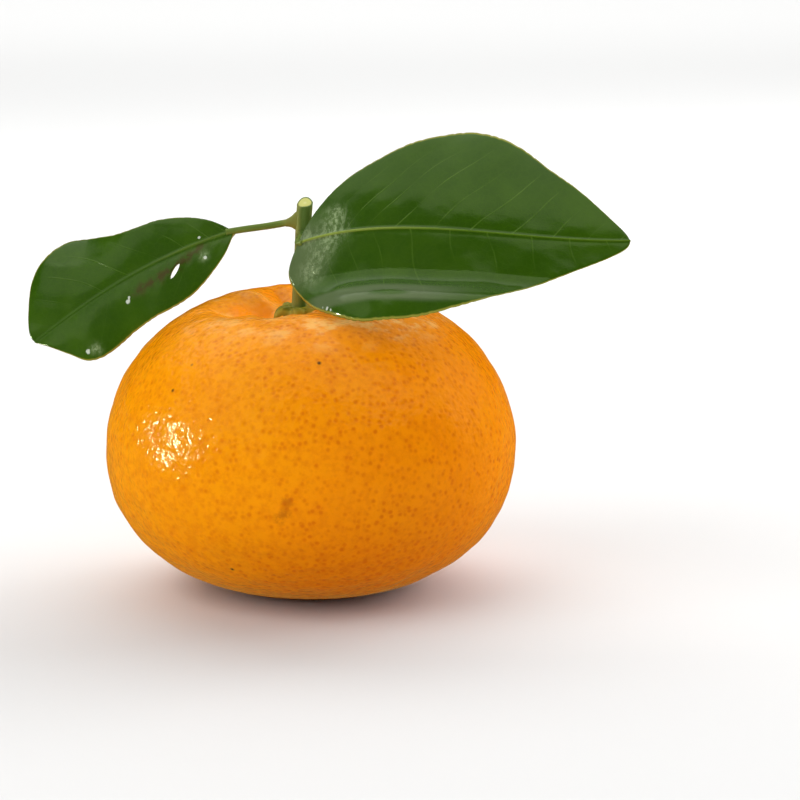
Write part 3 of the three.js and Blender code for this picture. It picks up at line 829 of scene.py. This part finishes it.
def rind_finish():
    """Yellow on the left to orange on the right, partly as painted light from the left, deeper below as
    painted shade, more so to the right, and in mottles of its own, with oil gland dots, a painted sheen
    in streaks on the crown, a painted glow in the dimple's hollows, and the marks at their places."""
    finish = Finish("waxy orange rind")
    x, z = finish.coordinate("X"), finish.coordinate("Z")
    broad = finish.noise(14, detail=3)
    mottle = finish.noise(1.5, detail=3, roughness=0.7)
    # painted light: yellower on the left where the light falls, oranger to the right; the broad noise is the
    # rind's own uneven tone
    right = x.step(-30, 22) * 0.7 + broad * 0.7 - 0.35
    colour = finish.mix(right, RIND_YELLOW, RIND_ORANGE)
    low = 1 - z.step(2, 26)
    # painted shade: the rind darkens low down, more so to the right; the mottles are its own uneven tone
    shade_and_mottle = low * (x.step(-25, 8) * 0.6 + 0.1) + mottle.step(0.4, 0.66) * 0.34
    colour = finish.mix(shade_and_mottle, colour, RIND_DEEP)
    dots = 1 - finish.cells(1.15, randomness=0.9).step(0.08, 0.5)
    shown = x.step(-26, 4) * 0.3 + finish.noise(6, detail=2).step(0.3, 0.7) * 0.28 + low * 0.12 + 0.12
    colour = finish.mix(dots * shown, colour, GLAND_DARK)
    # painted sheen: pale peach streaks on the crown, strongest towards the front
    streaks = finish.noise(3, detail=4, roughness=0.6, stretch=(0.6, 0.8, 1.4)).step(0.46, 0.66)
    front = 1 - finish.coordinate("Y").step(-4, 14)
    crown = z.step(43.5, 47.5) * (x.step(-8, 8) * 0.4 + 0.5) * (front * 0.8 + 0.2)
    colour = finish.mix((streaks * 0.9 + 0.1) * crown, colour, RIND_PAINTED_SHEEN)
    # painted light: a brighter orange glow in the dimple's hollows
    for point, reach in HOLLOWS:
        colour = finish.mix(finish.near(point, 0.3 * reach, reach) * 0.8, colour, RIND_PAINTED_GLOW)
    # darker brown patches, low on the front of the rind
    for point in DARK_PATCHES:
        dark_patch = finish.near(point, 0.2, 1.5) * mottle.step(0.3, 0.6)
        colour = finish.mix(dark_patch * 0.6, colour, PATCH_BROWN)
    for point in SPECKS:
        colour = finish.mix(finish.near(point, 0.12, 0.5), colour, SPECK_BROWN)
    scar = finish.near((0, 0, 0), 0.6, 2.4)
    colour = finish.mix(scar * 0.8, colour, SCAR_BROWN)
    fine = finish.noise(0.55, detail=2, roughness=0.6)
    relief = finish.bump(fine - dots, 0.05)
    relief = finish.bump(finish.noise(1.1, detail=1), 0.16, relief)
    relief = finish.bump(finish.noise(2.6, detail=1), 0.16, relief)
    return finish.done(
        Base_Color=colour, Roughness=0.12 + fine * 0.08, Normal=relief,
        IOR=1.37, Specular_Tint=RIND_GLINT,
        Subsurface_Weight=0.08, Subsurface_Radius=(1.2, 0.45, 0.1), Subsurface_Scale=1.5 * MM,
    )


LEAF_DARK = (0.025, 0.073, 0.0018)
LEAF_MID = (0.037, 0.094, 0.003)
# painted hazy sheen colour for the glint spots
LEAF_HAZY_SHEEN = (0.27, 0.36, 0.17)
# painted sheen colour for the shelf and the base
LEAF_SHEEN = (0.13, 0.165, 0.085)
LEAF_VEIN = (0.08, 0.16, 0.016)
LEAF_NET = (0.045, 0.11, 0.006)
LEAF_RIM = (0.34, 0.33, 0.05)
LEAF_UNDER = (0.12, 0.2, 0.055)
# painted highlight colour for water drop glints
LEAF_DROP_GLINT = (0.75, 0.8, 0.7)
SCORCH_BROWN = (0.045, 0.034, 0.004)
LEFT_RIB = ((0.07, 0.125, 0.01), (0.034, 0.088, 0.004))
RIGHT_RIB = ((0.21, 0.28, 0.04), (0.075, 0.155, 0.006))
LEAF_GLINT = (0.85, 1, 0.55, 1)


def leaf_finish(name, rib, rib_change, vein_strength, scorched=False):
    """Dark waxy green with veins, a net, painted sheen along the shelf, at the base and on the glint
    spots, pale flecks painted as water drop highlights, and a yellow margin; the midrib's colour
    changes over a stretch of the blade's length."""
    finish = Finish(name)
    along, outward, under = finish.mark("along"), finish.mark("outward"), finish.mark("under")
    gap = finish.mark("vein_rank").math("PINGPONG", 0.5) * VEIN_SPACING
    patchy = finish.noise(7, detail=2).step(0.38, 0.62)
    faint = finish.mark("across").step(-1, 0) * 0.6 + 0.4
    vein = (1 - gap.step(0.03, 0.17)) * (1 - outward.step(0.55, 0.9)) * (patchy * 0.85 + 0.15) * faint
    cloud = finish.noise(9, detail=4, roughness=0.6)
    colour = finish.mix(cloud.step(0.35, 0.7), LEAF_DARK, LEAF_MID)
    net = 1 - finish.cells(1.1, "DISTANCE_TO_EDGE").step(0.02, 0.1)
    colour = finish.mix(net * 0.16, colour, LEAF_NET)
    colour = finish.mix(vein * vein_strength, colour, LEAF_VEIN)
    if scorched:
        streak = finish.mark("scorch") * finish.noise(1.2, detail=3).step(0.3, 0.55)
        colour = finish.mix(streak, colour, SCORCH_BROWN)
    colour = finish.mix(under * 0.85, colour, LEAF_UNDER)
    rib_colour = finish.mix(along.step(*rib_change), *rib)
    # painted sheen: a hazy pale green on the glint spots, broken up by noise
    sheen_grain = finish.noise(0.7, detail=4, roughness=0.7, stretch=(1, 0.6, 0.6)).step(0.42, 0.62)
    colour = finish.mix(finish.mark("glint_spots") * (sheen_grain * 0.75 + 0.2), colour, LEAF_HAZY_SHEEN)
    # painted sheen along the shelf, less a slim lens, and at the base
    colour = finish.mix(finish.mark("sheen"), colour, LEAF_SHEEN)
    colour = finish.mix(finish.mark("midrib").step(0.35, 0.95), colour, rib_colour)
    colour = finish.mix(outward.step(0.968, 0.99) * 0.85, colour, LEAF_RIM)
    # painted highlights: pale flecks where the surface of each water drop catches the light
    drop_glints = finish.mark("drop_glints") + finish.noise(0.35, detail=2) * 0.6 - 0.3
    colour = finish.mix(drop_glints.step(0.4, 0.7) * 0.7, colour, LEAF_DROP_GLINT)
    grain = 1 - finish.cells(0.3).step(0, 0.6)
    relief = finish.bump(grain * 0.5 + net * 0.5, 0.005)
    relief = finish.bump(vein, 0.02, relief)
    relief = finish.bump(finish.noise(0.4, detail=2) * finish.mark("glint_spots"), 0.14, relief)
    relief = finish.bump(finish.mark("lean"), 1, relief)
    roughness = under * 0.3 + finish.noise(3).step(0.3, 0.7) * 0.04 + 0.13
    return finish.done(
        Base_Color=colour, Roughness=roughness, Normal=relief, IOR=1.47, Specular_Tint=LEAF_GLINT)


STALK_GREEN = (0.095, 0.15, 0.022)
STALK_STREAK = (0.14, 0.2, 0.035)
STALK_OLIVE = (0.24, 0.23, 0.05)
BARK_GLINT = (0.9, 1, 0.4, 1)


def stalk_finish():
    finish = Finish("green leaf stalk")
    streaks = finish.noise(0.7, detail=3, stretch=(0.15, 1, 1))
    colour = finish.mix(streaks.step(0.3, 0.7), STALK_GREEN, STALK_STREAK)
    colour = finish.mix(finish.noise(3, detail=2).step(0.45, 0.7) * 0.6, colour, STALK_OLIVE)
    relief = finish.bump(streaks, 0.03)
    return finish.done(
        Base_Color=colour, Roughness=0.42, Normal=relief, IOR=1.4, Specular_Tint=BARK_GLINT)


TWIG_GREEN = (0.055, 0.115, 0.018)
TWIG_STREAK = (0.08, 0.15, 0.03)
TWIG_OLIVE = (0.2, 0.2, 0.04)
CUT_PALE = (0.56, 0.55, 0.16)
PITH_PALE = (0.7, 0.68, 0.34)


def twig_finish():
    finish = Finish("green twig bark")
    share = finish.mark("share")
    lines = finish.noise(0.6, detail=3, stretch=(1, 1, 0.12))
    patches = finish.noise(2.4, detail=3)
    colour = finish.mix(lines.step(0.3, 0.7), TWIG_GREEN, TWIG_STREAK)
    left = 1 - finish.coordinate("X").step(-2.5, -1.4)
    colour = finish.mix(left * 0.85, colour, TWIG_OLIVE)
    colour = finish.mix(patches.step(0.6, 0.75) * 0.6, colour, TWIG_OLIVE)
    pale = 1 - share.step(0.72, 0.9)
    colour = finish.mix(pale, colour, CUT_PALE)
    pith = 1 - share.step(0.1, 0.3)
    colour = finish.mix(pith * 0.5, colour, PITH_PALE)
    relief = finish.bump(lines, 0.05)
    return finish.done(
        Base_Color=colour, Roughness=0.5, Normal=relief, IOR=1.4, Specular_Tint=BARK_GLINT)


CALYX_OLIVE = (0.26, 0.23, 0.01)
CALYX_DARK = (0.11, 0.11, 0.005)
CALYX_EDGE = (0.34, 0.28, 0.03)
CALYX_TAN = (0.3, 0.2, 0.015)
CALYX_GLINT = (1, 0.95, 0.3, 1)


def calyx_finish():
    finish = Finish("dry green calyx")
    outward = finish.mark("outward")
    patches = finish.noise(1.1, detail=4, roughness=0.65)
    colour = finish.mix(patches.step(0.35, 0.65), CALYX_OLIVE, CALYX_DARK)
    right = finish.coordinate("X").step(-2.2, 0.4)
    colour = finish.mix(right * 0.7, colour, CALYX_TAN)
    colour = finish.mix(outward.step(0.84, 1) * 0.85, colour, CALYX_EDGE)
    relief = finish.bump(patches, 0.12)
    return finish.done(
        Base_Color=colour, Roughness=0.6, Normal=relief, IOR=1.4, Specular_Tint=CALYX_GLINT)


# Pieces

def build_fruit():
    piece("fruit_rind", rind_skin(), rind_finish(), "fruit")


def build_calyx():
    skin, outward = calyx_skin()
    piece("calyx_star", skin, calyx_finish(), "calyx", {"outward": outward})


def build_stem():
    twig, shares = twig_skin()
    flares = [flare_skin(LEFT_FLARE), flare_skin(RIGHT_FLARE)]
    count = sum(len(flare[0]) for flare in flares)
    marks = {"share": np.concatenate([shares, np.full(count, BARK)])}
    piece("stem_twig", joined(twig, *flares), twig_finish(), "stem", marks)


def build_leaves():
    stalk = stalk_finish()
    left, right = Blade(LEFT_LEAF), Blade(RIGHT_LEAF)
    left_finish = leaf_finish("waxy green left leaf", LEFT_RIB, (6, 22), 0.3, scorched=True)
    right_finish = leaf_finish("waxy green right leaf", RIGHT_RIB, (8, 34), 0.75)
    skin, marks, flat, shape = left.skin(280, 60)
    marks["scorch"] = scorch_mark(flat)
    piece("leaf_left_blade", torn(left, skin, flat, shape), left_finish, "leaf_left", marks)
    skin, marks, flat, shape = right.skin(340, 70)
    piece("leaf_right_blade", skin, right_finish, "leaf_right", marks)
    piece("leaf_left_stalk", stalk_skin(LEFT_LEAF), stalk, "leaf_left")
    piece("leaf_right_stalk", stalk_skin(RIGHT_LEAF), stalk, "leaf_right")


# Studio

FLOOR_PALE = (0.68, 0.68, 0.675, 1)


def build_floor():
    """A pale sweep: level floor, then a quarter round up to a wall, as one strip of rows."""
    material = Finish("pale studio floor").done(Base_Color=FLOOR_PALE, Roughness=0.8)
    bend = np.linspace(0, np.pi / 2, 24)
    start, radius, half = FLOOR["bend_from"], FLOOR["bend_radius"], FLOOR["half_width"]
    run = np.concatenate([[FLOOR["near"]], start + radius * np.sin(bend), [start + radius]])
    rise = np.concatenate([[0], radius * (1 - np.cos(bend)), [FLOOR["top"]]])
    x, y = np.meshgrid([-half, half], run)
    points = np.stack([x, y, np.repeat(rise[:, None], 2, axis=1)], axis=-1)
    here = np.arange(x.size).reshape(x.shape)
    quads = np.stack([here[:-1, 0], here[:-1, 1], here[1:, 1], here[1:, 0]], axis=-1)
    mesh = bpy.data.meshes.new("floor")
    mesh.from_pydata(points.reshape(-1, 3).tolist(), [], quads.tolist())
    mesh.shade_smooth()
    mesh.materials.append(material)
    floor = bpy.data.objects.new("floor", mesh)
    floor.visible_glossy = False
    bpy.context.scene.collection.objects.link(floor)


def aimed(position, target):
    """Turns a light at a position so that its face looks at a target."""
    direction = Vector(target) - Vector(position)
    return Matrix.Translation(Vector(position)) @ direction.to_track_quat("-Z", "Y").to_matrix().to_4x4()


def build_light(name, position, target, size, brightness, seen_in, turn=0, colour=(1, 1, 1)):
    """A rectangular light whose power gives its face the stated brightness. It is left out of
    reflections or shown in them alone, and may be turned about the line to its target."""
    data = bpy.data.lights.new(name, "AREA")
    data.color = colour
    data.shape = "RECTANGLE"
    data.size, data.size_y = size
    data.energy = brightness * math.pi * size[0] * size[1]
    light = bpy.data.objects.new(name, data)
    light.matrix_world = aimed(position, target) @ Matrix.Rotation(math.radians(turn), 4, "Z")
    light.visible_camera = False
    light.visible_glossy = seen_in == "gloss"
    light.visible_diffuse = seen_in == "diffuse"
    bpy.context.scene.collection.objects.link(light)


def build_lights():
    """Softboxes light the surfaces, and panels are what their gloss shows: the left key makes
    the sparkles on the rind, the ceiling panel's front edge draws the line where the right
    leaf's sheen stops, and the warm card stands in for the floor under the rind's limb."""
    low, middle = (0, 0, 0.03), (0, 0, 0.04)
    rear, right_rear = (0, 0.5, 0.6), (0.75, 0.4, 0.36)
    build_light("front softbox", (-0.62, -0.5, 0.62), low, (0.8, 0.8), 2.6, "diffuse")
    build_light("front fill", (0.15, -0.95, 0.3), low, (1, 0.5), 0.6, "diffuse")
    build_light("backdrop light", (0, 1.8, 1.1), (0, 1.8, 0), (3.2, 1.8), 2, "diffuse")
    build_light("rear softbox", rear, middle, (1.4, 0.5), 1.8, "diffuse")
    build_light("right rear softbox", right_rear, middle, (0.7, 0.5), 5, "diffuse")
    build_light("right rear panel", right_rear, middle, (0.5, 0.3), 1.3, "gloss")
    build_light("rear panel", rear, middle, (1.4, 0.5), 1.2, "gloss")
    build_light("ceiling panel", (0.06, -0.037, 0.66), (0.06, -0.037, 0), (1.6, 0.7), 1, "gloss", turn=-27)
    build_light("left panel", (-0.62, -0.165, 0.54), (0, 0, 0.06), (0.3, 0.3), 0.6, "gloss")
    build_light("left key", (-0.75, -0.13, 0.15), low, (0.06, 0.06), 300, "gloss")
    build_light("warm card", (0, 0.3, 0.002), (0, 0.3, 1), (2.4, 2.4), 0.5, "gloss", colour=(1, 0.5, 0.1))


def build_world(brightness):
    """Even white light from all round, left out of reflections."""
    world = bpy.data.worlds.new("studio air")
    world.use_nodes = True
    background = world.node_tree.nodes["Background"]
    background.inputs["Color"].default_value = (1, 1, 1, 1)
    background.inputs["Strength"].default_value = brightness
    world.cycles_visibility.glossy = False
    bpy.context.scene.world = world


def build_camera():
    """Looks level with the rows of the picture, down by the view's rise, so that the fruit's
    middle falls on its pixel at the depth that gives the fruit its width."""
    scale = FRUIT_WIDTH / FRUIT_PIXELS_WIDE
    depth = PICTURE_SIDE * LENS / SENSOR * scale
    ahead = Vector((0, math.cos(VIEW_RISE), -math.sin(VIEW_RISE)))
    up = Vector((0, math.sin(VIEW_RISE), math.cos(VIEW_RISE)))
    right = Vector((1, 0, 0))
    off_x = FRUIT_PIXEL[0] - PICTURE_SIDE / 2
    off_y = FRUIT_PIXEL[1] - PICTURE_SIDE / 2
    position = Vector(FRUIT_MIDDLE) - depth * ahead - off_x * scale * right + off_y * scale * up
    data = bpy.data.cameras.new("camera")
    data.lens = LENS
    data.sensor_width = SENSOR
    camera = bpy.data.objects.new("camera", data)
    camera.location = position * MM
    camera.rotation_euler = (math.pi / 2 - VIEW_RISE, 0, 0)
    bpy.context.scene.collection.objects.link(camera)
    bpy.context.scene.camera = camera


build_camera()
build_fruit()
build_calyx()
build_stem()
build_leaves()
build_floor()
build_world(brightness=0.45)
build_lights()
bpy.context.scene.view_settings.view_transform = "Standard"
